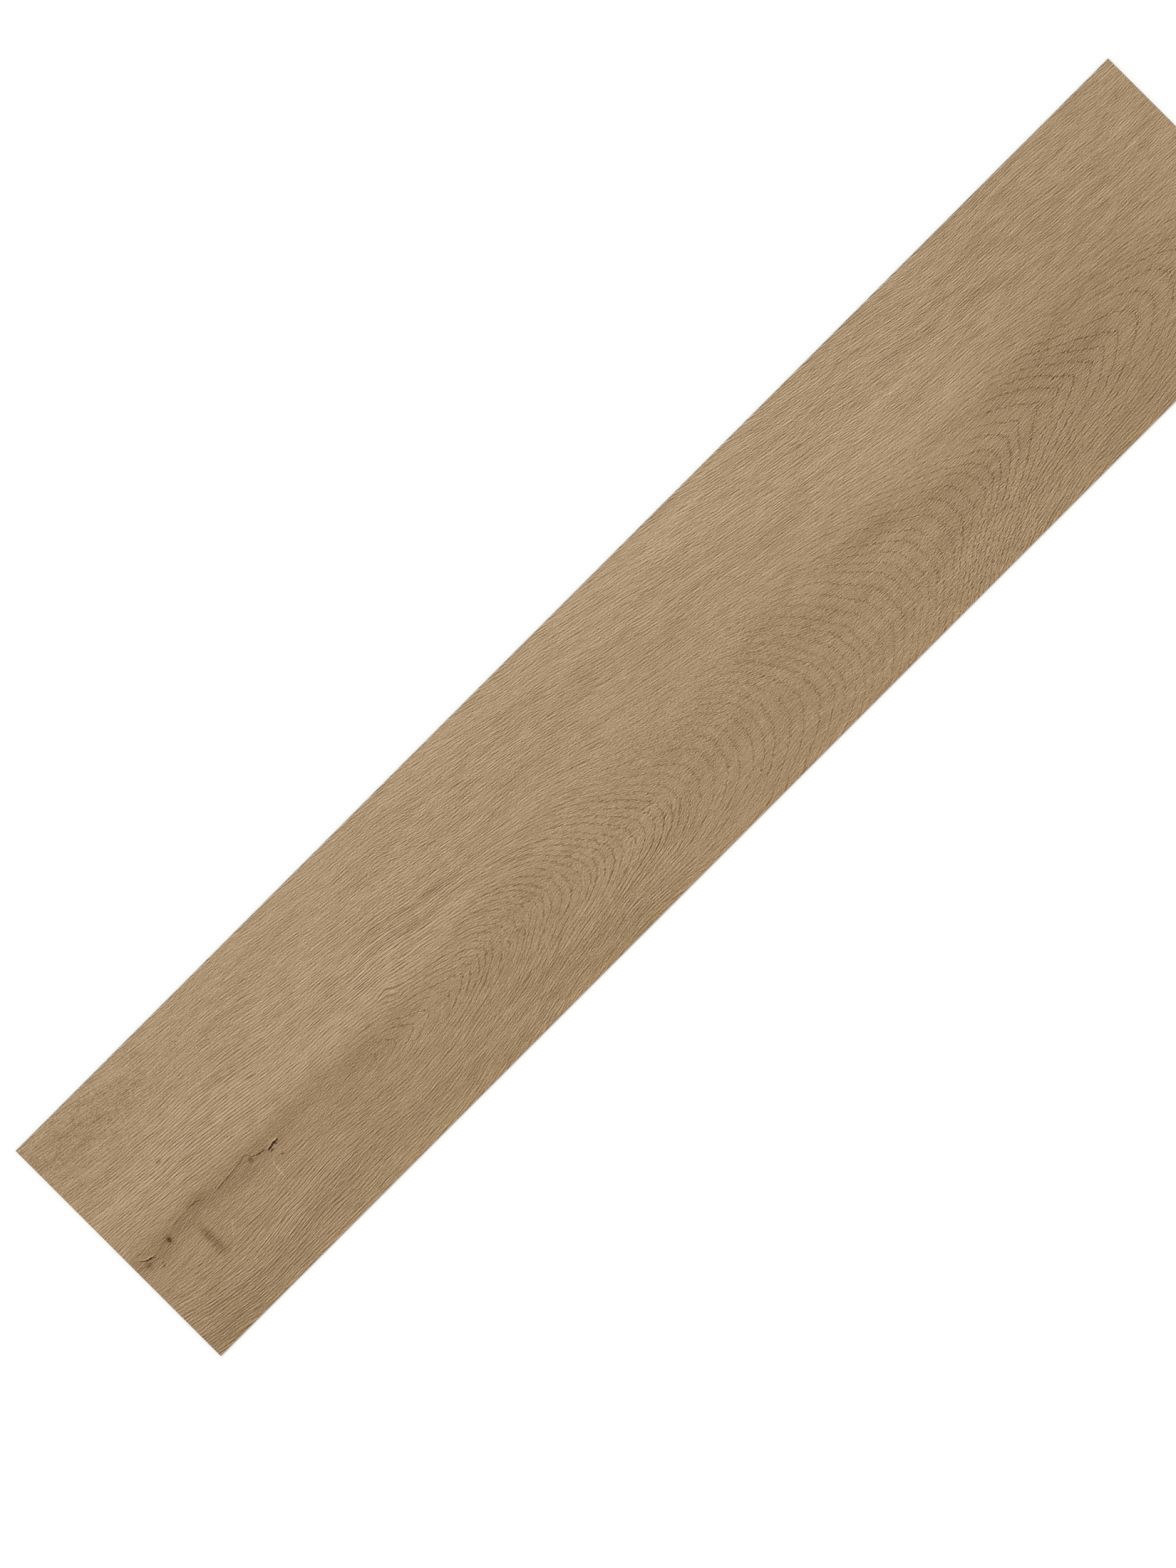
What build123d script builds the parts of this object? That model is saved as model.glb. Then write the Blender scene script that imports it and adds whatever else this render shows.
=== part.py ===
from build123d import *
import os

# Vinyl floor plank, the plain-edged kind that is laid butted and glued down.
# It lies on its back with the wood-look face up. The origin is the middle of the back,
# +X runs along the plank, +Y across it and +Z up through the face. Sizes are in millimetres.

# Driving sizes
PLANK_LENGTH = 1219.2
PLANK_WIDTH = 228.6
PLANK_THICKNESS = 2.5
EDGE_BEVEL = 0.4

os.makedirs("parts", exist_ok=True)

# The plank is one sheet of filled vinyl, cut square to size from its back upwards.
# A fine bevel is then dressed round the face, mitred at the four corners, so that two planks
# laid edge to edge meet in a shallow V and no raw arris stands proud. The back stays square.
with BuildPart() as plank:
    with BuildSketch(Plane.XY):
        Rectangle(PLANK_LENGTH, PLANK_WIDTH)
    extrude(amount=PLANK_THICKNESS)
    face_edges = plank.faces().sort_by(Axis.Z)[-1].edges()
    chamfer(face_edges, length=EDGE_BEVEL)

plank.part.label = "plank"
export_step(plank.part, "parts/plank.step")

print(f"volume {plank.part.volume / 1000:.2f} cm3")
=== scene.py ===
"""Looks of a plain-edged vinyl floor plank: an embossed oak print, eased edges, a plain back."""
import logging
import math
from dataclasses import dataclass, field
from enum import Enum
from typing import Any

import bpy
import numpy as np
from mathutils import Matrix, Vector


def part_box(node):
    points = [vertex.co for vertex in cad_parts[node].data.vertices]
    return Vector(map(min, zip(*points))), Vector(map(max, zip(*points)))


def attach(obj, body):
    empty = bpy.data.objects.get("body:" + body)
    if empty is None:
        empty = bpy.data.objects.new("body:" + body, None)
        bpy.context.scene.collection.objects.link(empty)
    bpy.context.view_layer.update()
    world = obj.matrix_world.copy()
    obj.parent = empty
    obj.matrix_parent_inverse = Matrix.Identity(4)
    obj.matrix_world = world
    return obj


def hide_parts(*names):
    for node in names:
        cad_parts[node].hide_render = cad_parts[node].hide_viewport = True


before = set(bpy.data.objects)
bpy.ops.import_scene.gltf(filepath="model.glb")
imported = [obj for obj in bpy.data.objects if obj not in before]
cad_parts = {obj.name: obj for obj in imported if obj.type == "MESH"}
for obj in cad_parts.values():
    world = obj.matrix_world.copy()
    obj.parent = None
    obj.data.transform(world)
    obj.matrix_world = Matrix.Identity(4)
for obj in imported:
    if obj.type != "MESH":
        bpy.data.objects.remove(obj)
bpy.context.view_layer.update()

log = logging.getLogger("vinyl_plank")

MM = 0.001

Tree = bpy.types.NodeTree
# What feeds a node's input: an output socket, or a node, which stands for its first output.
Signal = bpy.types.Node | bpy.types.NodeSocket
# Pairs of place along the plank and value, or of place along and across it.
Points = tuple[tuple[float, float], ...]


def linear_colour(code: str) -> tuple[float, float, float, float]:
    """Turn an sRGB hex colour into the linear colour that a shader takes.

    Args:
        code: six hex digits, such as "A48B6C".

    Returns:
        Linear red, green, blue and an alpha of 1.
    """
    channels = [int(code[i:i + 2], 16) / 255 for i in (0, 2, 4)]
    linear = [c / 12.92 if c <= 0.04045 else ((c + 0.055) / 1.055) ** 2.4 for c in channels]
    return linear[0], linear[1], linear[2], 1.0


def grey(level: float) -> tuple[float, float, float, float]:
    """Give a neutral linear colour of that level."""
    return level, level, level, 1.0


def feed(tree: Tree, node: bpy.types.Node, inputs: dict | tuple) -> None:
    """Fill or link a node's inputs.

    Args:
        tree: the node's tree.
        node: the node to feed.
        inputs: what fills or feeds the inputs, in order or by socket index or name: a constant, an
            output socket, or a node, which stands for its first output.
    """
    for socket, value in (inputs if isinstance(inputs, dict) else dict(enumerate(inputs))).items():
        if isinstance(value, bpy.types.Node):
            value = value.outputs[0]
        if isinstance(value, bpy.types.NodeSocket):
            tree.links.new(value, node.inputs[socket])
        else:
            node.inputs[socket].default_value = value


def add(tree: Tree, kind: str, inputs: dict | tuple = (), operation: str = "",
        **settings: Any) -> bpy.types.Node:
    """Add one node with its settings, and fill or link its inputs.

    Args:
        tree: the node tree that it joins.
        kind: the node's type after "ShaderNode", such as "Math".
        inputs: what fills or feeds its inputs, as feed takes it.
        operation: what a node of mathematics does.
        settings: the node's other properties.

    Returns:
        The new node.
    """
    node = tree.nodes.new("ShaderNode" + kind)
    if operation:
        node.operation = operation
    for name, value in settings.items():
        setattr(node, name, value)
    feed(tree, node, inputs)
    return node


def new_material(name: str) -> tuple[bpy.types.Material, Tree, bpy.types.Node]:
    """Make a plain material, and give it with its node tree and its shader."""
    material = bpy.data.materials.new(name)
    material.use_nodes = True
    return material, material.node_tree, material.node_tree.nodes["Principled BSDF"]


@dataclass(frozen=True)
class Course:
    """A value that changes smoothly along the plank, through given points.

    The reach is how far the corners at the points are rounded, in millimetres.
    """

    points: Points
    reach: float = 30.0
    steps: int = 9

    def at(self, along: np.ndarray) -> np.ndarray:
        """Give the value at each place along the plank, as a bell-weighted mean over the reach."""
        offsets = np.linspace(-1.0, 1.0, self.steps) * self.reach
        weights = 1.0 + np.cos(np.pi * offsets / (self.reach * 1.25))
        places, values = zip(*self.points)
        lines = [np.interp(along + offset, places, values) for offset in offsets]
        return np.average(lines, axis=0, weights=weights)


@dataclass(frozen=True)
class Drift:
    """A smooth, seeded, random unevenness: a few slanted waves added up.

    The length and the width are the typical wavelengths along and across the plank in
    millimetres. The seed fixes the waves' directions and phases.
    """

    waves: int
    length: float
    width: float
    seed: int
    amount: float = 1.0

    def at(self, along: np.ndarray, across: np.ndarray) -> np.ndarray:
        """Give the unevenness at each place, which is mostly between minus and plus the amount."""
        draw = np.random.default_rng(self.seed)
        result = np.zeros_like(along)
        for _ in range(self.waves):
            run = draw.uniform(0.6, 1.5) / self.length * draw.choice((-1.0, 1.0))
            rise = draw.uniform(0.3, 1.5) / self.width
            result += np.sin(2 * np.pi * (run * along + rise * across + draw.uniform()))
        return result / math.sqrt(self.waves) * self.amount


@dataclass(frozen=True)
class Layer:
    """A strength over the face: a plain one, and soft oval spots that add to it.

    Each spot is its centre along and across, its reach along and across in millimetres, and
    what it adds at its centre. The sum is kept between the least and the most.
    """

    base: float
    spots: tuple[tuple[float, ...], ...]
    least: float = -math.inf
    most: float = math.inf

    def at(self, along: np.ndarray, across: np.ndarray) -> np.ndarray:
        """Give the strength at each place."""
        result = np.zeros_like(along)
        for centre_along, centre_across, reach_along, reach_across, amount in self.spots:
            off_along = (along - centre_along) / reach_along
            off_across = (across - centre_across) / reach_across
            result += amount * np.exp(-(off_along ** 2 + off_across ** 2))
        return np.clip(self.base + result, self.least, self.most)


@dataclass(frozen=True)
class PlankSize:
    """The plank's outside sizes in metres, read from the CAD solid."""

    length: float
    width: float
    thickness: float
    bevel: float = 0.4 * MM

    @classmethod
    def from_frame(cls) -> "PlankSize":
        """Read the size of the CAD node."""
        low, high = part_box("plank")
        return cls(high.x - low.x, high.y - low.y, high.z - low.z)


@dataclass(frozen=True)
class GrainField:
    """Where the growth rings of a flat-sawn oak board cut the face, in millimetres.

    The board's pith runs below the face, and dives away from it towards the far end, so the
    rings come out as nested arches that point that way. Places are measured along the plank
    from the near end, and across it from the left long edge.
    """

    length: float
    ring_pitch: float = 2.35
    # The pith's mean line across the plank, and how far aside the bends of its own line reach.
    mean_heart: float = 150.0
    heart_reach: float = 55.0
    slow_bend: Drift = Drift(6, 240.0, 150.0, 11, 2.2)
    quick_bend: Drift = Drift(8, 80.0, 60.0, 12, 0.5)
    # How far aside of the pith the fibre stays level.
    level_left: Course = Course(((0, 12), (740, 12), (880, 110), (1219, 110)))
    level_right: Course = Course(((0, 12), (560, 12), (620, 70), (780, 90), (1219, 90)))
    steepest: float = 0.5
    level_softening: float = 0.2
    # Left of the fall's edge the rings run aslant, and right of the dip's they bend at the near end.
    left_fall: float = 0.15
    fall_course: Course = Course(((-60, -200), (420, 200), (1300, 200)), 80.0)
    fall_edge: float = 88.0
    fall_fade: float = 14.0
    dip_course: Course = Course(((-60, -18), (50, 0), (1300, 0)))
    dip_edge: float = 165.0
    dip_fade: float = 8.0
    first_depth: float = 6.0
    # How unevenly the rings are spaced: the size, rate and start of each wave over the ring count.
    uneven_rings: tuple[tuple[float, float, float], ...] = ((0.20, 0.83, 0.0), (0.06, 2.3, 1.0))
    # Each knot's place along and across, and its reach.
    knots: tuple[tuple[float, float, float], ...] = (
        (36.0, 135.2, 7.0), (126.0, 136.5, 6.0), (13.0, 140.0, 7.0), (297.0, 121.0, 9.0))
    knot_pull: float = 0.8
    heart_line: Course = Course((
        (0, 130), (140, 137), (253, 147), (340, 151), (430, 153), (480, 160), (551, 168),
        (619, 162), (655, 163), (690, 173), (722, 183), (790, 181), (846, 172), (887, 163),
        (907, 164), (968, 151), (1000, 152), (1030, 160), (1075, 160), (1219, 152),
    ), 22.0)
    # How fast the pith dives, as half the growth of its depth squared: arches are close where it is high.
    dive: Course = Course((
        (0, 0.4), (230, 0.5), (290, 3.2), (340, 4), (375, 11), (400, 15), (450, 18), (560, 21),
        (600, 19), (650, 19), (700, 24), (760, 27), (850, 28), (900, 26), (940, 24), (1219, 22),
    ), 18.0)
    right_crowding: Course = Course((
        (0, 1.0), (300, 1.0), (420, 1.35), (480, 1.35), (620, 0.65), (730, 0.65), (830, 0.95), (930, 1.6),
        (1219, 1.6),
    ))
    left_crowding: Course = Course(((0, 1.0), (478, 1.0), (1000, 1.5), (1219, 1.5)))
    arch_point: Course = Course((
        (0, 0), (270, 0), (290, 10), (365, 10), (400, 0), (640, 0), (700, -8), (780, -15),
        (840, -28), (905, -22), (935, 0), (962, 50), (1055, 44), (1085, 6), (1219, 0),
    ), 14.0)
    point_reach: float = 30.0

    def depth_squared(self, along: np.ndarray) -> np.ndarray:
        """Give the square of the pith's depth below the face at each place along."""
        steps = np.arange(-60.0, self.length + 60.0, 1.0)
        squared = self.first_depth ** 2 + 2.0 * np.cumsum(self.dive.at(steps))
        return np.interp(along, steps, squared)

    def aside(self, along: np.ndarray, across: np.ndarray) -> np.ndarray:
        """Give how far across from the pith's line each place is; that line's bends fade out to the sides."""
        bend = self.slow_bend.at(along, across) + self.quick_bend.at(along, across)
        heart = self.heart_line.at(along)
        near = np.exp(-((across - heart) / self.heart_reach) ** 2)
        left = 1.0 / (1.0 + np.exp((across - self.fall_edge) / self.fall_fade))
        right = 1.0 / (1.0 + np.exp((self.dip_edge - across) / self.dip_fade))
        fall = self.left_fall * self.fall_course.at(along) * left
        dip = self.dip_course.at(along) * right
        return across + bend - fall - dip - (self.mean_heart + (heart - self.mean_heart) * near)

    def ring(self, along: np.ndarray, across: np.ndarray) -> np.ndarray:
        """Give the ring count, which is a whole number on each ring's early-wood line.

        Where the arch point is above 0 the arches come to a point, and below 0 they are blunt.
        """
        aside = self.aside(along, across)
        right, left = self.right_crowding.at(along), self.left_crowding.at(along)
        aside = np.where(aside > 0, aside * right, -aside * left)
        point = self.arch_point.at(along)
        blunt = np.maximum(-point, 0.1)
        sharp = np.maximum(point, 0.0)
        squared = aside ** 2 * (1.0 - np.exp(-(aside / blunt) ** 2))
        squared += sharp * aside * np.exp(-aside / self.point_reach)
        ring = np.sqrt(squared + self.depth_squared(along)) / self.ring_pitch
        return ring + sum(size * np.sin(rate * ring + start) for size, rate, start in self.uneven_rings)

    def round_knots(self, along: np.ndarray, across: np.ndarray) -> np.ndarray:
        """Move places across towards the knots, which bends the rings round them."""
        for knot_along, knot_across, reach in self.knots:
            aside = across - knot_across
            near = np.exp(-((along - knot_along) ** 2 + aside ** 2) / reach ** 2)
            across = across - self.knot_pull * aside * near
        return across

    def steepness(self, along: np.ndarray, across: np.ndarray) -> tuple[np.ndarray, np.ndarray]:
        """Give how fast the ring count grows along and across, in rings a millimetre."""
        step = 1.0
        by_along = (self.ring(along + step, across) - self.ring(along - step, across)) / (2 * step)
        by_across = (self.ring(along, across + step) - self.ring(along, across - step)) / (2 * step)
        return by_along, by_across

    def slope(self, along: np.ndarray, across: np.ndarray) -> np.ndarray:
        """Give the fibre's slope: along the rings at the sides, level over the pith."""
        by_along, by_across = self.steepness(along, across)
        softening = (self.level_softening / self.ring_pitch) ** 2
        aside = self.aside(along, across)
        reach = np.where(aside > 0, self.level_right.at(along), self.level_left.at(along))
        level = 1.0 - np.exp(-(aside / reach) ** 2)
        slope = -by_along * by_across / (by_across ** 2 + softening) * level
        return self.steepest * np.tanh(slope / self.steepest)


@dataclass(frozen=True)
class PrintMap:
    """Where the print is lighter or darker, and where each family of lines is strong.

    The layers are in steps of lightness, of 255, but for the steady one, which is a share.
    """

    left_level: float = 144.0
    right_level: float = 135.0
    side_start: float = 95.0
    side_fade: float = 50.0
    broad_clouds: Drift = Drift(10, 190.0, 45.0, 21, 1.6)
    small_clouds: Drift = Drift(12, 60.0, 16.0, 22, 1.4)
    tones: Layer = Layer(0.0, (
        (45, 24, 60, 14, -8), (67, 89, 60, 12, 5), (303, 110, 80, 9, 5), (60, 133, 110, 10, -16),
        (185, 137, 95, 11, -8), (255, 150, 40, 22, -3), (141, 205, 130, 8, -6), (30, 222, 50, 16, -8),
        (620, 20, 130, 25, 4), (855, 62, 140, 7, 5), (712, 130, 26, 9, -6), (822, 130, 45, 12, -7),
        (1019, 126, 70, 30, -10), (1130, 110, 60, 40, -6), (900, 170, 90, 20, -4), (480, 205, 90, 18, -2),
        (310, 92, 90, 36, 4), (750, 30, 90, 25, 3), (150, 95, 90, 34, 3), (500, 8, 450, 14, 5),
        (0, 24, 36, 36, -5), (1070, 60, 90, 50, -5), (1050, 200, 60, 34, -6), (495, 168, 55, 32, 5),
        (285, 60, 50, 16, 4), (190, 114, 90, 11, 4), (840, 168, 45, 16, 5), (62, 36, 60, 20, -3),
        (940, 87, 110, 20, 5), (870, 40, 150, 40, 2.5), (110, 180, 200, 40, -1), (420, 160, 120, 40, -1.5),
        (872, 170, 45, 22, -3),
    ))
    ring_lines: Layer = Layer(44.0, (
        (100, 95, 100, 30, 34), (110, 200, 130, 32, 20), (320, 95, 90, 30, 48), (520, 200, 90, 22, 26),
        (70, 134, 130, 13, -40), (200, 140, 70, 14, -34), (40, 30, 60, 24, -24), (880, 50, 220, 50, 12),
        (900, 120, 200, 40, -10), (520, 168, 60, 30, 20), (585, 172, 22, 40, -16), (880, 165, 90, 36, 4),
        (1000, 180, 80, 16, 14), (600, 128, 130, 26, -24), (670, 190, 70, 44, 4), (490, 150, 80, 26, 12),
        (320, 150, 60, 18, 14), (800, 212, 70, 24, -22),
    ), 0, 120)
    long_dashes: Layer = Layer(32.0, (
        (420, 45, 150, 40, 12), (880, 40, 200, 40, 20), (110, 200, 130, 32, 20), (970, 155, 150, 40, 6),
        (100, 95, 100, 30, 2), (60, 25, 60, 24, -14), (400, 160, 110, 22, -14), (640, 125, 90, 30, -6),
        (480, 150, 80, 24, -9), (670, 180, 70, 40, -10),
    ), 6, 60)
    short_dashes: Layer = Layer(34.0, (
        (420, 45, 150, 40, 12), (880, 40, 200, 40, 10), (970, 155, 150, 40, 4), (640, 125, 120, 40, 8),
        (100, 95, 90, 24, -8), (110, 200, 120, 26, -6), (910, 205, 100, 25, 12), (55, 22, 80, 30, -8),
        (480, 150, 80, 24, -9), (670, 180, 70, 40, -6),
    ), 8, 60)
    stripes: Layer = Layer(10.0, ((1050, 60, 220, 60, 22), (60, 30, 90, 40, 16)))
    # Where the ring lines are less broken than elsewhere.
    steady: Layer = Layer(0.0, (
        (110, 95, 120, 30, 0.35), (110, 200, 140, 36, 0.35), (960, 165, 160, 50, 0.3),
        (1010, 215, 150, 22, 0.4),
    ))
    # Where the fibre is fuzzy the grit is strong.
    grit: Layer = Layer(40.0, (
        (55, 22, 80, 30, 50), (440, 150, 130, 34, 22), (640, 135, 120, 40, 34), (860, 190, 160, 34, 24),
        (470, 205, 90, 20, 26), (200, 40, 90, 20, 14),
    ))
    # The strength of the soft dark band beside each arch, at places along the plank.
    bands: Points = ((300, 0.5), (450, 0.55), (900, 0.55), (960, 0.9), (1219, 0.9))

    def tone(self, along: np.ndarray, across: np.ndarray) -> np.ndarray:
        """Give the print's broad lightness, of 255."""
        side = np.clip((across - self.side_start) / self.side_fade, 0, 1)
        cloud = self.broad_clouds.at(along, across) + self.small_clouds.at(along, across)
        level = self.left_level + (self.right_level - self.left_level) * side
        return level + cloud + self.tones.at(along, across)

    def band(self, along: np.ndarray) -> np.ndarray:
        """Give the strength of the soft dark band beside each arch, which grows towards the far end."""
        places, values = zip(*self.bands)
        return np.interp(along, places, values)


class Region(Enum):
    """The faces of the plank that have their own finish, in slot order."""

    FACE = 0
    EDGE = 1
    BACK = 2


@dataclass(frozen=True)
class Dashes:
    """One family of brush-like dashes in the print, with its sizes in millimetres.

    An edge of more than 0 draws each dark dash between two light ones that far away, which is
    how a brushed and limed pore looks, and leaves out any broad light and dark.
    """

    length: float
    width: float
    seed: float
    detail: float = 0.0
    edge: float = 0.0
    roughness: float = 0.55

    def sample(self, tree: Tree, place: Signal, aside: float) -> Signal:
        """Read the noise at a place, or that many millimetres beside it."""
        scale = (1 / self.length, 1 / self.width, 1.0)
        start = (self.seed, self.seed + aside / self.width, self.seed)
        moved = add(tree, "VectorMath", (place, scale, start), "MULTIPLY_ADD")
        noise = {"Vector": moved, "Scale": 1.0, "Detail": self.detail, "Roughness": self.roughness}
        return add(tree, "TexNoise", noise)

    def draw(self, tree: Tree) -> Signal:
        """Draw the dashes from both fibre maps, faded into one another.

        Args:
            tree: the material's node tree.

        Returns:
            A value around 0, with a spread of about 0.13, or 0.32 with an edge.
        """
        values = []
        for which in ("fibre_a", "fibre_b"):
            place = add(tree, "Attribute", attribute_name=which).outputs["Vector"]
            middle = self.sample(tree, place, 0.0)
            if self.edge:
                left, right = (self.sample(tree, place, aside) for aside in (self.edge, -self.edge))
                sides = add(tree, "Math", (left, right), "ADD")
                sides = add(tree, "Math", (sides, -1.0), "MULTIPLY")
                values.append(add(tree, "Math", (middle, 2.0, sides), "MULTIPLY_ADD"))
            else:
                values.append(add(tree, "Math", (middle, 0.5), "SUBTRACT"))
        share = add(tree, "Attribute", attribute_name="fibre_share").outputs["Fac"]
        rest = add(tree, "Math", (1.0, share), "SUBTRACT")
        first = add(tree, "Math", (values[0], share), "MULTIPLY")
        mixed = add(tree, "Math", (values[1], rest, first), "MULTIPLY_ADD")
        square = add(tree, "Math", (share, share), "MULTIPLY")
        both = add(tree, "Math", (rest, rest, square), "MULTIPLY_ADD")
        both = add(tree, "Math", (both,), "SQRT")
        return add(tree, "Math", (mixed, both), "DIVIDE")


@dataclass(frozen=True)
class Mark:
    """A thin check or scratch in the print, drawn as a smooth line through given points.

    Points are pairs of place along and across in millimetres. An upright mark runs across the
    plank rather than along it. The glint is a painted highlight: a light line close beside the
    dark one, on one side only, as if light caught the check's rim. The end fade is a share of
    the mark's length, and the other sizes are in millimetres.
    """

    points: Points
    width: float
    amount: float
    painted_glint: float = 0.0
    upright: bool = False
    end_fade: float = 0.14
    painted_glint_gap: float = 0.55
    painted_glint_width: float = 0.6
    margin: float = 1.0

    def draw(self, tree: Tree, along: Signal, across: Signal) -> Signal:
        """Draw the mark.

        Args:
            tree: the material's node tree.
            along: place along the plank in millimetres.
            across: place across it in millimetres.

        Returns:
            What the mark adds to the print's lightness, with its painted highlight.
        """
        run, rise = (across, along) if self.upright else (along, across)
        places = [point[::-1] if self.upright else point for point in self.points]
        first, last = places[0][0], places[-1][0]
        heights = [height for _, height in places]
        low, high = min(heights) - self.margin, max(heights) + self.margin
        share = add(tree, "MapRange", {"Value": run, "From Min": first, "From Max": last}, clamp=False)
        bend = add(tree, "FloatCurve", {"Value": share})
        curve = bend.mapping.curves[0]
        curve_ends = {0: 0, len(places) - 1: -1}
        for number, (place, height) in enumerate(places):
            spot = ((place - first) / (last - first), (height - low) / (high - low))
            if number in curve_ends:
                curve.points[curve_ends[number]].location = spot
            else:
                curve.points.new(*spot)
        bend.mapping.update()
        line = add(tree, "Math", (bend, high - low, low), "MULTIPLY_ADD")
        away = add(tree, "Math", (rise, line), "SUBTRACT")
        off_middle = add(tree, "Math", (share, 0.5), "SUBTRACT")
        off_middle = add(tree, "Math", (off_middle,), "ABSOLUTE")
        inside = add(tree, "Math", (0.5, off_middle), "SUBTRACT")
        ends = add(tree, "MapRange", {"Value": inside, "From Min": 0.0, "From Max": self.end_fade})
        core = self.stripe(tree, away, 0.0, self.width, self.amount)
        # The painted highlight: a light stripe on one side of the dark check.
        if self.painted_glint:
            painted_glint = self.stripe(tree, away, self.painted_glint_gap + self.width, self.painted_glint_width, self.painted_glint)
            core = add(tree, "Math", (core, painted_glint), "ADD")
        return add(tree, "Math", (core, ends), "MULTIPLY")

    def stripe(self, tree: Tree, away: Signal, aside: float, reach: float,
               amount: float) -> Signal:
        """Draw one soft stripe, which lies that far aside of the line and fades out over its reach."""
        distance = add(tree, "Math", (away, aside), "ADD")
        distance = add(tree, "Math", (distance,), "ABSOLUTE")
        return add(tree, "MapRange", (distance, 0.0, reach, amount, 0.0), interpolation_type="SMOOTHSTEP")


@dataclass(frozen=True)
class Blot:
    """A soft round or oval stain in the print: its centre and reach in millimetres, and what it adds.

    It has faded out at its end, which is counted in reaches.
    """

    centre: tuple[float, float]
    reach: tuple[float, float]
    amount: float
    end: float = 1.5

    def draw(self, tree: Tree, place: Signal) -> Signal:
        """Draw the stain.

        Args:
            tree: the material's node tree.
            place: place along and across the plank in millimetres, as a vector.

        Returns:
            What the stain adds to the print's lightness.
        """
        scale = (1 / self.reach[0], 1 / self.reach[1], 0.0)
        shift = (-self.centre[0] / self.reach[0], -self.centre[1] / self.reach[1], 0.0)
        local = add(tree, "VectorMath", (place, scale, shift), "MULTIPLY_ADD")
        distance = add(tree, "VectorMath", (local,), "LENGTH").outputs["Value"]
        limits = (distance, 0.0, self.end, self.amount, 0.0)
        return add(tree, "MapRange", limits, interpolation_type="SMOOTHERSTEP")


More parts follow.
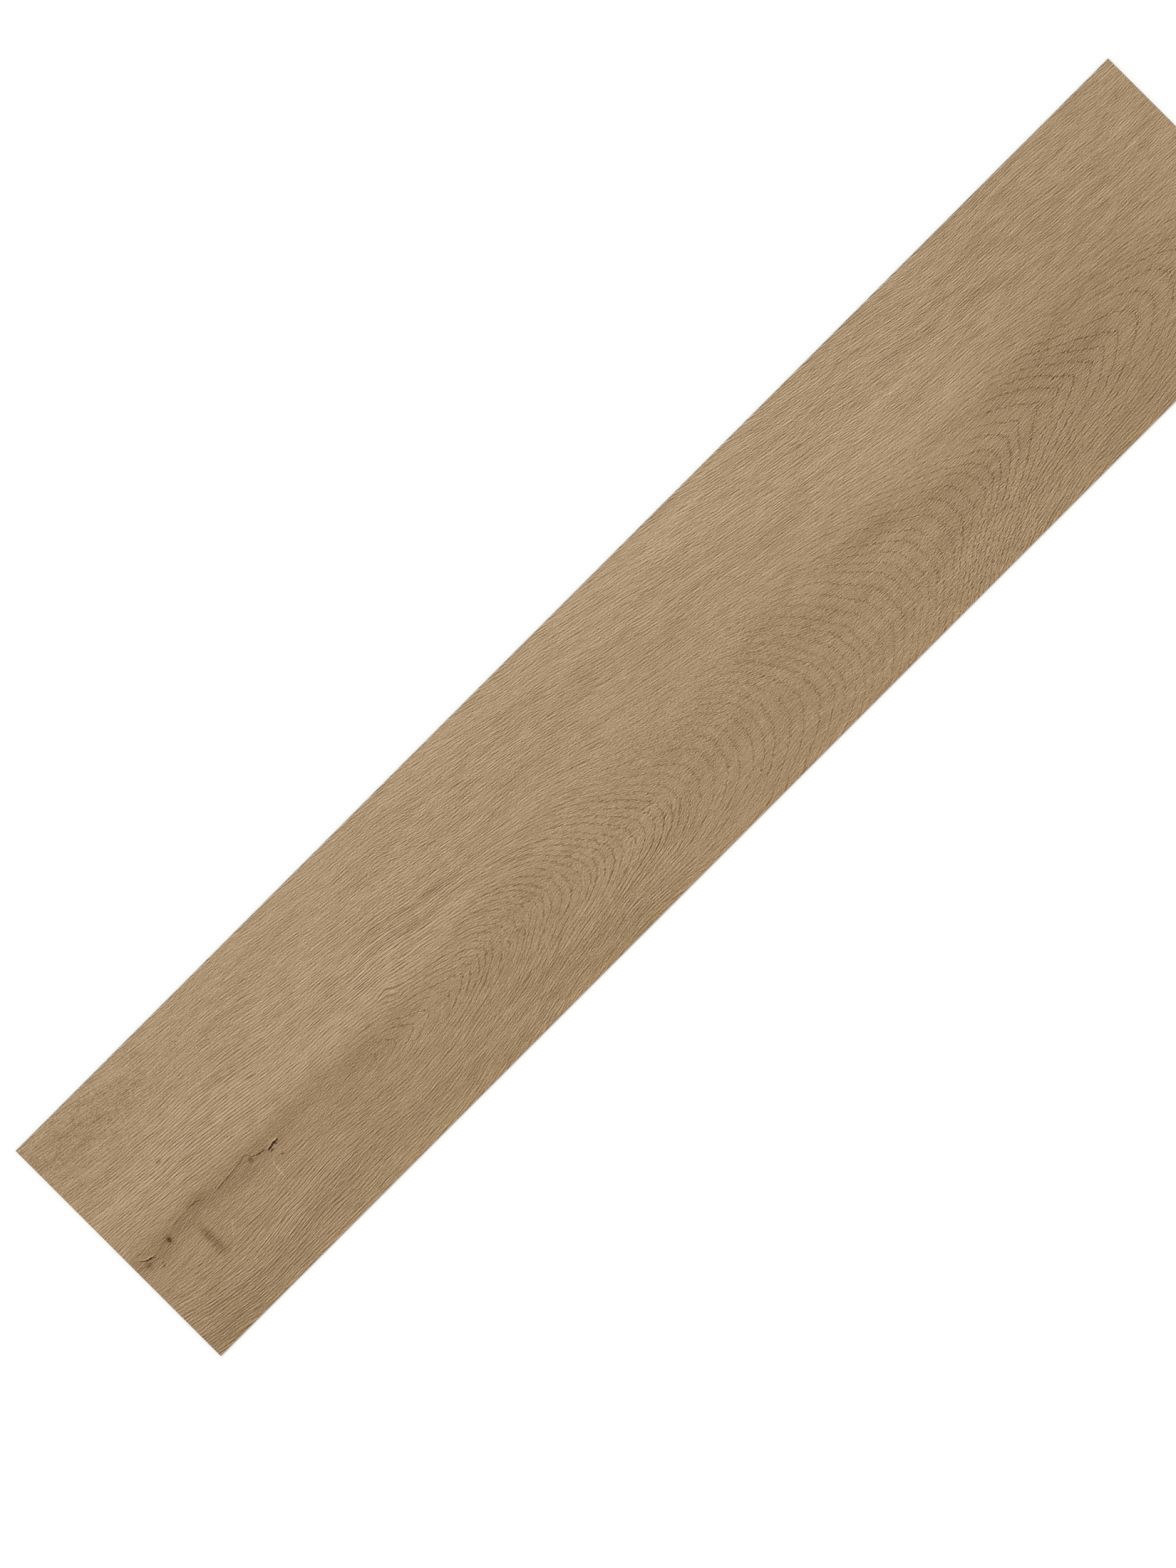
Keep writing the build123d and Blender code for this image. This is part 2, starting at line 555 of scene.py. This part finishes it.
@dataclass(frozen=True)
class OakPrint:
    """PVC film printed as limed flat-sawn oak under a matt, embossed clear wear layer.

    The print gives pale brown brush-like lines that follow the fibre, thin dark early-wood lines
    along the rings, and a brown heart band with knots and short black checks; a painted
    highlight lies beside some checks. The wear layer is rolled with a matching relief, so the
    surface is dull and slightly furrowed.
    """

    plank: PlankSize
    name: str = "PVC_film_oak_print_embossed"
    # Brushed fibre bundles are 1 to 2 mm wide. Open oak pores are 0.2 to 0.3 mm wide and 2 to
    # 10 mm long, and are drawn at 0.58 mm, because finer ones would not show in the picture.
    brush: Dashes = Dashes(13.0, 1.8, 3.1, detail=2.0)
    long_dash: Dashes = Dashes(8.5, 0.58, 17.7, edge=0.85)
    short_dash: Dashes = Dashes(2.0, 0.58, 41.3, edge=0.85)
    stripe: Dashes = Dashes(34.0, 3.2, 71.3, detail=1.0)
    # What moves and breaks the ring lines: they sway over some centimetres and step by fibre.
    sway: Dashes = Dashes(30.0, 5.0, 63.9, detail=1.0)
    breaks: Dashes = Dashes(16.0, 2.2, 87.1, detail=1.0)
    teeth: Dashes = Dashes(5.0, 0.9, 27.3)
    # The print's real dots are about 0.1 mm, and are drawn as a 0.7 mm grit so that it shows.
    grit_size: float = 0.7
    # The embossing's depth in millimetres, and the shares of the grit and the brush in it.
    furrow_depth: float = 0.06
    grit_relief: float = 0.12
    brush_relief: float = 0.2
    # The wear layer is matt, and duller where the brush is light.
    brush_dulling: float = 0.5
    mean_roughness: float = 0.58
    specular: float = 0.15
    # What the brush adds to the lightness, of 255, what a band takes off it, and a band's gain in dashes.
    brush_depth: float = 34.0
    band_depth: float = 12.0
    band_dashes: float = 1.0
    # How the stains are made ragged: the noise's scale per millimetre, its reach, the brush's mottle.
    ragged_scale: float = 0.9
    ragged_reach: float = 1.1
    mottle: float = 2.5
    # How far the ring lines sway, and how strong each one is: its least, its own share, its breaks.
    sway_reach: float = 1.6
    least_strength: float = 0.62
    own_strength: float = 0.4
    break_depth: float = 2.2
    # The print's lightness, of 255, and at each level the lightness that is shown.
    darkest: int = 20
    lightest: int = 220
    levels: tuple[tuple[int, int], ...] = (
        (20, 14), (50, 40), (80, 73), (110, 107), (140, 140), (170, 167), (195, 188), (220, 205),
    )
    # What is added to red, green and blue at any lightness.
    tint: tuple[int, int, int] = (26, 0, -33)
    # A ring line's lightness from its middle out to its reach in millimetres.
    line_reach: float = 1.3
    line_profile: Points = (
        (0.0, 0.0), (0.17, 0.04), (0.48, 0.94), (0.64, 0.84), (0.86, 0.62), (1.0, 0.60),
    )
    # A mark's fourth number is the strength of its painted highlight.
    marks: tuple[Mark, ...] = (
        Mark(((7.0, 129.9), (9.0, 132.2), (11.3, 134.2), (14.1, 135.2), (16.9, 135.9), (19.4, 137.8)),
             0.8, -100, 60),
        Mark(((11.6, 134.4), (14.1, 135.3), (16.4, 135.9)), 1.0, -110),
        Mark(((7.7, 126.2), (9.6, 126.0), (11.7, 126.5)), 0.6, -28),
        Mark(((17.4, 147.2), (19.0, 147.3), (20.6, 146.9)), 0.7, -55),
        Mark(((18.9, 145.0), (21.0, 144.6)), 0.7, -45),
        Mark(((43.9, 129.3), (56.3, 128.8), (67.5, 128.2), (72.0, 128.8), (76.5, 131.4), (81.2, 134.2)),
             0.6, -34, 14),
        Mark(((86.6, 134.6), (96.8, 133.6), (108.0, 132.7), (114.8, 131.9), (119.3, 131.2), (122.6, 130.5),
              (125.5, 130.2), (127.1, 131.6), (128.8, 135.0), (132.8, 137.0), (136.7, 137.8), (140.7, 138.1)),
             0.65, -48, 20),
        Mark(((131.0, 136.4), (135.0, 137.4), (140.8, 138.1)), 0.75, -50),
        Mark(((140.9, 140.5), (143.5, 140.3), (146.3, 139.7), (148.5, 139.1), (151.3, 139.5), (153.6, 139.0)),
             1.0, -170, 60),
        Mark(((148.3, 140.0), (149.4, 140.7), (150.6, 141.8)), 0.8, -95),
        Mark(((141.6, 142.7), (143.6, 142.6), (145.8, 142.3)), 0.7, -90),
        Mark(((146.1, 150.3), (147.6, 150.4), (149.1, 150.9)), 0.75, -75),
        Mark(((188.5, 137.9), (190.3, 138.1)), 0.6, -45),
        Mark(((82.7, 159.2), (78.8, 163.7), (73.1, 169.9)), 0.9, 26, upright=True),
        Mark(((141.2, 146.8), (137.8, 150.1), (136.4, 158.0), (136.4, 166.0)), 0.9, 22, upright=True),
    )
    blots: tuple[Blot, ...] = (
        Blot((36.0, 135.2), (1.9, 2.3), -52),
        Blot((36.2, 135.6), (4.0, 5.0), -18),
        Blot((10.6, 139.2), (3.8, 3.6), -20),
        Blot((126.2, 136.6), (2.6, 2.4), -32),
        Blot((60.6, 151.5), (5.5, 9.0), -20),
        Blot((61.0, 165.0), (6.5, 12.0), -16),
        Blot((73.2, 128.0), (11.0, 5.5), -10),
        Blot((22.0, 141.0), (16.0, 7.0), -7),
        Blot((60.2, 153.5), (3.0, 5.0), -9),
        Blot((61.0, 164.5), (3.4, 5.0), -9),
        Blot((74.1, 85.7), (2.6, 1.8), -24),
    )

    def build(self) -> bpy.types.Material:
        """Make the material.

        Returns:
            The finished material.
        """
        material, tree, shader = new_material(self.name)
        tone = add(tree, "Attribute", attribute_name="tone").outputs["Vector"]
        tone = add(tree, "SeparateXYZ", (tone,)).outputs
        cover = add(tree, "Attribute", attribute_name="cover").outputs["Vector"]
        cover = add(tree, "SeparateXYZ", (cover,)).outputs
        brush = self.brush.draw(tree)
        line, band = self.ring_lines(tree, brush)
        spot = add(tree, "TexCoord").outputs["Object"]
        grit = add(tree, "TexNoise", {"Vector": spot, "Scale": 1 / (self.grit_size * MM), "Detail": 0.0})
        longer = add(tree, "Math", (self.long_dash.draw(tree), cover[1]), "MULTIPLY")
        shorter = add(tree, "Math", (self.short_dash.draw(tree), cover[2]), "MULTIPLY")
        dashes = add(tree, "Math", (longer, shorter), "ADD")
        in_band = add(tree, "Math", (band, self.band_dashes, 1.0), "MULTIPLY_ADD")
        bare_grit = add(tree, "Math", (grit, 0.5), "SUBTRACT")
        level = add(tree, "Math", (tone[0], self.stains(tree, brush)), "ADD")
        for layer in ((brush, self.brush_depth), (self.stripe.draw(tree), tone[2]), (line, cover[0]),
                      (band, -self.band_depth), (dashes, in_band), (bare_grit, tone[1])):
            part = add(tree, "Math", layer, "MULTIPLY")
            level = add(tree, "Math", (level, part), "ADD")
        share = add(tree, "MapRange", (level, float(self.darkest), float(self.lightest)))
        ramp = add(tree, "ValToRGB", (share,))
        self.fill(ramp.color_ramp)
        furrow = add(tree, "Math", (grit, self.grit_relief, line), "MULTIPLY_ADD")
        furrow = add(tree, "Math", (brush, self.brush_relief, furrow), "MULTIPLY_ADD")
        bump = add(tree, "Bump", {"Height": furrow, "Distance": self.furrow_depth * MM, "Strength": 1.0})
        dull = (brush, self.brush_dulling, self.mean_roughness)
        dull = add(tree, "Math", dull, "MULTIPLY_ADD", use_clamp=True)
        feed(tree, shader, {"Base Color": ramp, "Normal": bump, "Roughness": dull,
                            "Specular IOR Level": self.specular})
        return material

    def stains(self, tree: Tree, brush: Signal) -> Signal:
        """Draw the knots, stains, checks and scratches, and the painted highlights beside some checks.

        Args:
            tree: the material's node tree.
            brush: the brush layer, which mottles the stains.

        Returns:
            What they add to the print's lightness.
        """
        spot = add(tree, "TexCoord").outputs["Object"]
        middle = (self.plank.length / 2 / MM, self.plank.width / 2 / MM, 0.0)
        place = add(tree, "VectorMath", (spot, (1 / MM, -1 / MM, 0.0), middle), "MULTIPLY_ADD")
        ragged = {"Vector": place, "Scale": self.ragged_scale, "Detail": 1.0}
        ragged = add(tree, "TexNoise", ragged).outputs["Color"]
        reach, middle = self.ragged_reach, self.ragged_reach / 2
        place = add(tree, "VectorMath", (ragged, (reach, reach, 0.0), place), "MULTIPLY_ADD")
        place = add(tree, "VectorMath", (place, (middle, middle, 0.0)), "SUBTRACT")
        axes = add(tree, "SeparateXYZ", (place,)).outputs
        stains, lines = 0.0, 0.0
        for blot in self.blots:
            stains = add(tree, "Math", (stains, blot.draw(tree, place)), "ADD")
        for mark in self.marks:
            lines = add(tree, "Math", (lines, mark.draw(tree, axes[0], axes[1])), "ADD")
        mottle = add(tree, "Math", (brush, self.mottle, 1.0), "MULTIPLY_ADD")
        return add(tree, "Math", (stains, mottle, lines), "MULTIPLY_ADD")

    def ring_lines(self, tree: Tree, brush: Signal) -> tuple[Signal, Signal]:
        """Draw the dark early-wood lines with their light sides, wandering and broken here and there.

        Args:
            tree: the material's node tree.
            brush: the brush layer, which makes the steep lines step from fibre to fibre.

        Returns:
            The lines, from about -0.6 on one to 0.3 beside it, and the soft bands of the arches,
            from 0 to about 1 in the middle of one.
        """
        ring = add(tree, "Attribute", attribute_name="ring").outputs["Fac"]
        rate = add(tree, "Attribute", attribute_name="ring_rate").outputs["Fac"]
        style = add(tree, "Attribute", attribute_name="ring_style").outputs["Vector"]
        style = add(tree, "SeparateXYZ", (style,)).outputs
        shift = (self.sway.draw(tree), self.sway_reach, brush)
        shift = add(tree, "Math", shift, "MULTIPLY_ADD")
        shift = add(tree, "Math", (shift, style[0]), "MULTIPLY")
        shift = add(tree, "Math", (self.teeth.draw(tree), style[1], shift), "MULTIPLY_ADD")
        moved = add(tree, "Math", (ring, shift), "ADD")
        away = add(tree, "Math", (moved, 0.5), "PINGPONG")
        away = add(tree, "Math", (away, rate), "DIVIDE")
        share = add(tree, "Math", (away, self.line_reach), "DIVIDE", use_clamp=True)
        profile = add(tree, "ValToRGB", (share,))
        stops = profile.color_ramp
        while len(stops.elements) < len(self.line_profile):
            stops.elements.new(0.5)
        for element, (place, level) in zip(stops.elements, self.line_profile):
            element.position = place
            element.color = grey(level)
        number = add(tree, "Math", (moved,), "ROUND")
        own = add(tree, "TexWhiteNoise", {"W": number}, noise_dimensions="1D").outputs["Value"]
        steady = add(tree, "Attribute", attribute_name="ring_steady").outputs["Fac"]
        weight = add(tree, "Math", (own, self.own_strength, self.least_strength), "MULTIPLY_ADD")
        weight = add(tree, "Math", (weight, steady), "ADD")
        strength = (self.breaks.draw(tree), self.break_depth, weight)
        strength = add(tree, "Math", strength, "MULTIPLY_ADD", use_clamp=True)
        lines = add(tree, "Math", (profile, self.line_profile[-1][1]), "SUBTRACT")
        lines = add(tree, "Math", (lines, strength), "MULTIPLY")
        wave = add(tree, "Math", (moved, 2 * math.pi), "MULTIPLY")
        wave = add(tree, "Math", (wave,), "COSINE")
        wave = add(tree, "Math", (wave, 0.5, 0.5), "MULTIPLY_ADD")
        band = add(tree, "Math", (wave, 2.0), "POWER")
        band = add(tree, "Math", (band, style[2]), "MULTIPLY")
        return lines, add(tree, "Math", (band, strength), "MULTIPLY")

    def fill(self, ramp: bpy.types.ColorRamp) -> None:
        """Set the ramp's stops: each is the same warm tint at another lightness, the darks a little deeper.

        Args:
            ramp: the ramp to fill, from the darkest to the lightest level of 255.
        """
        while len(ramp.elements) < len(self.levels):
            ramp.elements.new(0.5)
        for element, (level, shown) in zip(ramp.elements, self.levels):
            element.position = (level - self.darkest) / (self.lightest - self.darkest)
            code = "".join(f"{max(0, shown + part):02X}" for part in self.tint)
            element.color = linear_colour(code)


@dataclass(frozen=True)
class CutVinyl:
    """Filled PVC as a die leaves it.

    The chalk filler makes it a dull warm grey with paler specks, which are a little rougher,
    and the die leaves upright scores. Sizes are in millimetres.
    """

    name: str = "filled_PVC_die_cut"
    colour: str = "8F877A"
    speck: str = "A79F90"
    # Chalk grains are under 0.1 mm, and are drawn as 0.45 mm clusters so that they show.
    speck_size: float = 0.45
    speck_limits: tuple[float, float] = (0.52, 0.72)
    score_pitch: float = 0.7
    score_stretch: float = 12.0
    score_depth: float = 0.06
    score_strength: float = 0.8
    speck_dulling: float = 0.2
    least_roughness: float = 0.65
    specular: float = 0.4

    def build(self) -> bpy.types.Material:
        """Make the material.

        Returns:
            The finished material.
        """
        material, tree, shader = new_material(self.name)
        spot = add(tree, "TexCoord").outputs["Object"]
        specks = add(tree, "TexNoise", {"Vector": spot, "Scale": 1 / (self.speck_size * MM), "Detail": 2.0})
        share = add(tree, "MapRange", (specks, *self.speck_limits))
        mixed = {0: share, 6: linear_colour(self.colour), 7: linear_colour(self.speck)}
        colour = add(tree, "Mix", mixed, data_type="RGBA")
        pitch = 1 / (self.score_pitch * MM)
        tall = (spot, (pitch, pitch, pitch / self.score_stretch))
        tall = add(tree, "VectorMath", tall, "MULTIPLY")
        scores = add(tree, "TexNoise", {"Vector": tall, "Scale": 1.0, "Detail": 2.0})
        bump = {"Height": scores, "Distance": self.score_depth * MM, "Strength": self.score_strength}
        bump = add(tree, "Bump", bump)
        dull = (specks, self.speck_dulling, self.least_roughness)
        dull = add(tree, "Math", dull, "MULTIPLY_ADD", use_clamp=True)
        feed(tree, shader, {"Base Color": colour.outputs[2], "Normal": bump, "Roughness": dull,
                            "Specular IOR Level": self.specular})
        return material


@dataclass(frozen=True)
class RolledBack:
    """Filled PVC backing as the rolls leave it.

    The filler makes it an even warm grey with faint broad clouds, and the rolls give it a matt
    skin with a shallow, soft pebble. Sizes are in millimetres.
    """

    name: str = "filled_PVC_backing_calendered"
    colour: str = "9C968B"
    cloud: str = "A8A297"
    pebble: float = 1.4
    pebble_depth: float = 0.12
    pebble_strength: float = 0.7
    cloud_size: float = 60.0
    cloud_dulling: float = 0.2
    least_roughness: float = 0.6
    specular: float = 0.4

    def build(self) -> bpy.types.Material:
        """Make the material.

        Returns:
            The finished material.
        """
        material, tree, shader = new_material(self.name)
        spot = add(tree, "TexCoord").outputs["Object"]
        clouds = add(tree, "TexNoise", {"Vector": spot, "Scale": 1 / (self.cloud_size * MM), "Detail": 4.0})
        mixed = {0: clouds, 6: linear_colour(self.colour), 7: linear_colour(self.cloud)}
        colour = add(tree, "Mix", mixed, data_type="RGBA")
        pebbles = {"Vector": spot, "Scale": 1 / (self.pebble * MM)}
        pebbles = add(tree, "TexVoronoi", pebbles, feature="SMOOTH_F1").outputs["Distance"]
        bump = {"Height": pebbles, "Distance": self.pebble_depth * MM, "Strength": self.pebble_strength}
        bump = add(tree, "Bump", bump)
        dull = (clouds, self.cloud_dulling, self.least_roughness)
        dull = add(tree, "Math", dull, "MULTIPLY_ADD", use_clamp=True)
        feed(tree, shader, {"Base Color": colour.outputs[2], "Normal": bump, "Roughness": dull,
                            "Specular IOR Level": self.specular})
        return material


@dataclass
class Plank:
    """The plank itself: one sheet with a rolled face, cut edges and a plain back.

    Two fibre maps, each in cells half a cell apart, carry the dashes along the curving fibre.
    """

    size: PlankSize
    grain: GrainField
    print_map: PrintMap = PrintMap()
    cells_along: int = 360
    cells_across: int = 252
    fibre_cell: float = 48.0
    # How far apart in the noise two neighbouring cells lie, and the two maps.
    cell_shift: float = 7.3
    map_shift: float = 3.1
    relief: float = 0.06 * MM
    long_furrows: Drift = Drift(9, 300.0, 9.0, 31)
    short_furrows: Drift = Drift(9, 120.0, 5.0, 32)
    # The relief starts that far inside the rim and is full after its fade, in millimetres.
    plain_rim: float = 1.0
    rim_fade: float = 5.0
    least_rate: float = 0.02
    # How the ring lines change where they are steep, which is where they cross the plank: they
    # are fainter and wider, sway and step more, and have a soft band.
    steep_fading: float = 0.45
    steep_widening: float = 0.8
    steep_sway: float = 1.8
    steep_steps: float = 6.0
    band_gain: float = 1.6
    band_start: float = 0.3
    sharp_edge: float = 25.0
    body: bpy.types.Object | None = field(default=None, init=False)

    def build(self) -> bpy.types.Object:
        """Model the plank round its face and mark its regions.

        Returns:
            The finished piece.
        """
        size = self.size
        bpy.ops.object.select_all(action="DESELECT")
        cells = {"x_subdivisions": self.cells_along, "y_subdivisions": self.cells_across}
        bpy.ops.mesh.primitive_grid_add(size=1.0, **cells)
        body = bpy.context.active_object
        body.name = "vinyl_plank"
        body.data.name = "vinyl_plank"
        inner = (size.length - 2 * size.bevel, size.width - 2 * size.bevel)
        bpy.ops.object.mode_set(mode="EDIT")
        bpy.ops.mesh.select_all(action="SELECT")
        bpy.ops.transform.resize(value=(inner[0], inner[1], 1.0), center_override=(0, 0, 0))
        bpy.ops.transform.translate(value=(0, 0, size.thickness))
        bpy.ops.mesh.region_to_loop()
        bpy.ops.mesh.extrude_edges_move(TRANSFORM_OT_translate={"value": (0, 0, -size.bevel)})
        bpy.ops.transform.resize(value=(size.length / inner[0], size.width / inner[1], 1.0),
                                 center_override=(0, 0, 0))
        bpy.ops.mesh.extrude_edges_move(TRANSFORM_OT_translate={"value": (0, 0, size.bevel - size.thickness)})
        bpy.ops.mesh.edge_face_add()
        bpy.ops.mesh.select_all(action="SELECT")
        bpy.ops.mesh.normals_make_consistent(inside=False)
        bpy.ops.object.mode_set(mode="OBJECT")
        self.body = body
        self.mark_regions()
        self.map_grain()
        self.roll_relief()
        return body

    def mark_regions(self) -> None:
        """Give each face its region by its normal; the bevel has the finish of the face."""
        for face in self.body.data.polygons:
            if face.normal.z < -0.5:
                region = Region.BACK
            elif face.normal.z > 0.5:
                region = Region.FACE
            else:
                region = Region.EDGE
            face.material_index = region.value

    def roll_relief(self) -> None:
        """Press the rolled relief's broad furrows into the face, from nothing at its rim downwards.

        The fine furrows are narrower than the mesh, so the face's finish gives those.
        """
        along, across, spots_at = self.places()
        aside = self.grain.aside(along, across)
        furrow = self.long_furrows.at(along, aside) + self.short_furrows.at(along, aside)
        rim = np.minimum(np.minimum(along, self.size.length / MM - along),
                         np.minimum(across, self.size.width / MM - across))
        fade = np.clip((rim - self.plain_rim) / self.rim_fade, 0, 1)
        on_face = spots_at[:, 2] > self.size.thickness - self.size.bevel / 2
        depth = np.clip(0.5 + 0.25 * furrow, 0, 1) * self.relief * fade * on_face
        spots_at[:, 2] -= depth
        half = np.array([self.size.length / 2, self.size.width / 2])
        spots_at[:, :2] = np.clip(spots_at[:, :2], -half, half)
        self.body.data.vertices.foreach_set("co", spots_at.ravel())
        self.body.data.update()

    def dress(self, finishes: dict[Region, bpy.types.Material]) -> None:
        """Put a finish on each region, and smooth the face but not its edges.

        Args:
            finishes: the material of each region.
        """
        for region in Region:
            self.body.data.materials.append(finishes[region])
        bpy.ops.object.select_all(action="DESELECT")
        self.body.select_set(True)
        bpy.context.view_layer.objects.active = self.body
        bpy.ops.object.shade_smooth_by_angle(angle=math.radians(self.sharp_edge))

    def places(self) -> tuple[np.ndarray, np.ndarray, np.ndarray]:
        """Give each vertex's place along and across in millimetres, and its coordinates."""
        mesh = self.body.data
        spots = np.empty(len(mesh.vertices) * 3)
        mesh.vertices.foreach_get("co", spots)
        spots = spots.reshape(-1, 3)
        along = (spots[:, 0] + self.size.length / 2) / MM
        across = (self.size.width / 2 - spots[:, 1]) / MM
        return along, across, spots

    def map_grain(self) -> None:
        """Store the ring count and the fibre maps on the vertices, and then the print."""
        along, across, _ = self.places()
        ring = self.grain.ring(along, self.grain.round_knots(along, across))
        slope = self.grain.slope(along, across)
        self.store("ring", ring)
        half = self.fibre_cell / 2
        cell = np.floor(along / self.fibre_cell)
        offset = along - (cell + 0.5) * self.fibre_cell
        self.store("fibre_a", along, across - slope * offset, cell * self.cell_shift)
        self.store("fibre_share", 1.0 - np.abs(offset) / half)
        cell = np.floor((along - half) / self.fibre_cell)
        offset = along - half - (cell + 0.5) * self.fibre_cell
        self.store("fibre_b", along, across - slope * offset, cell * self.cell_shift + self.map_shift)
        self.map_print(along, across)

    def map_print(self, along: np.ndarray, across: np.ndarray) -> None:
        """Store the tones, the strength of each family of lines, and how the ring lines are drawn.

        Args:
            along: each vertex's place along the plank in millimetres.
            across: its place across the plank.
        """
        prints = self.print_map
        tone, grit = prints.tone(along, across), prints.grit.at(along, across)
        self.store("tone", tone, grit, prints.stripes.at(along, across))
        self.store("ring_steady", prints.steady.at(along, across))
        by_along, by_across = self.grain.steepness(along, across)
        rate = np.maximum(np.hypot(by_along, by_across), self.least_rate)
        steep = np.abs(by_along) / rate
        lines = prints.ring_lines.at(along, across) * (1.0 - self.steep_fading * steep)
        dashes = (layer.at(along, across) for layer in (prints.long_dashes, prints.short_dashes))
        self.store("cover", lines, *dashes)
        self.store("ring_rate", rate * (1.0 + self.steep_widening * steep))
        band = np.clip(self.band_gain * steep - self.band_start, 0, 1) * prints.band(along)
        wander = rate * (1.0 + self.steep_sway * steep)
        teeth = rate * self.steep_steps * steep ** 2
        self.store("ring_style", wander, teeth, band)

    def store(self, name: str, *columns: np.ndarray) -> None:
        """Keep one value per vertex under that name, or a vector of three."""
        kind, key = ("FLOAT", "value") if len(columns) == 1 else ("FLOAT_VECTOR", "vector")
        layer = self.body.data.attributes.new(name, kind, "POINT")
        layer.data.foreach_set(key, np.stack(columns, 1).astype(np.float32).ravel())


@dataclass(frozen=True)
class Studio:
    """Plain pale floor, soft even light and the camera straight above the plank.

    The scale is one pixel of the picture on the plank, and angles are in degrees.
    """

    picture: tuple[int, int] = (1650, 2200)
    scale: float = 0.5626 * MM
    middle: tuple[float, float] = (-0.0855, -0.0004)
    roll: float = -45.0
    height: float = 6.0
    sensor: float = 36.0
    far_clip: float = 60.0
    sky_strength: float = 0.55
    key_strength: float = 1.6
    key_spread: float = 25.0
    key_tilt: float = -25.0
    floor_size: float = 14.0
    # The grey that lights the plank's edges, and the white that the camera sees.
    floor_grey: float = 0.8
    paper: float = 1.0

    def light(self) -> None:
        """Light the plank from all round, and a little more from the upper left of the picture."""
        world = bpy.data.worlds.new("studio")
        bpy.context.scene.world = world
        world.use_nodes = True
        background = world.node_tree.nodes["Background"]
        feed(world.node_tree, background, {"Color": grey(1.0), "Strength": self.sky_strength})
        lamp = bpy.data.lights.new("soft_key", "SUN")
        lamp.energy = self.key_strength
        lamp.angle = math.radians(self.key_spread)
        key = bpy.data.objects.new("soft_key", lamp)
        key.rotation_euler = (math.radians(self.key_tilt), 0.0, 0.0)
        bpy.context.scene.collection.objects.link(key)

    def floor(self) -> None:
        """Lay a plain pale floor under the plank."""
        bpy.ops.object.select_all(action="DESELECT")
        bpy.ops.mesh.primitive_plane_add(size=self.floor_size)
        ground = bpy.context.active_object
        ground.name = "floor"
        material, tree, shader = new_material("pale_floor")
        ray = add(tree, "LightPath").outputs
        seen = add(tree, "Math", (ray["Is Camera Ray"], ray["Is Glossy Ray"]), "ADD")
        seen = add(tree, "Math", (seen, ray["Is Transmission Ray"]), "ADD", use_clamp=True)
        shade = add(tree, "Mix", {0: seen, 6: grey(self.floor_grey), 7: grey(self.paper)}, data_type="RGBA")
        feed(tree, shader, {"Base Color": shade.outputs[2], "Roughness": 1.0, "Specular IOR Level": 0.0})
        ground.data.materials.append(material)

    def camera(self) -> None:
        """Look straight down with a long lens, turned so that the plank runs up to the right."""
        data = bpy.data.cameras.new("camera")
        data.sensor_fit = "VERTICAL"
        data.sensor_height = self.sensor
        data.lens = self.sensor * self.height / (self.picture[1] * self.scale)
        data.clip_end = self.far_clip
        eye = bpy.data.objects.new("camera", data)
        eye.location = (self.middle[0], self.middle[1], self.height)
        eye.rotation_euler = (0.0, 0.0, math.radians(self.roll))
        bpy.context.scene.collection.objects.link(eye)
        bpy.context.scene.camera = eye


def main() -> None:
    """Build the plank and the studio in order, and log the plank's count of faces."""
    logging.basicConfig(level=logging.INFO, format="%(name)s: %(message)s")
    bpy.context.scene.view_settings.view_transform = "Standard"
    size = PlankSize.from_frame()
    plank = Plank(size, GrainField(size.length / MM))
    body = plank.build()
    finishes = {Region.FACE: OakPrint(size), Region.EDGE: CutVinyl(), Region.BACK: RolledBack()}
    plank.dress({region: finish.build() for region, finish in finishes.items()})
    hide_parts("plank")
    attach(body, "root")
    log.info("plank: %d faces", len(body.data.polygons))
    studio = Studio()
    studio.light()
    studio.floor()
    studio.camera()


if __name__ == "__main__":
    main()
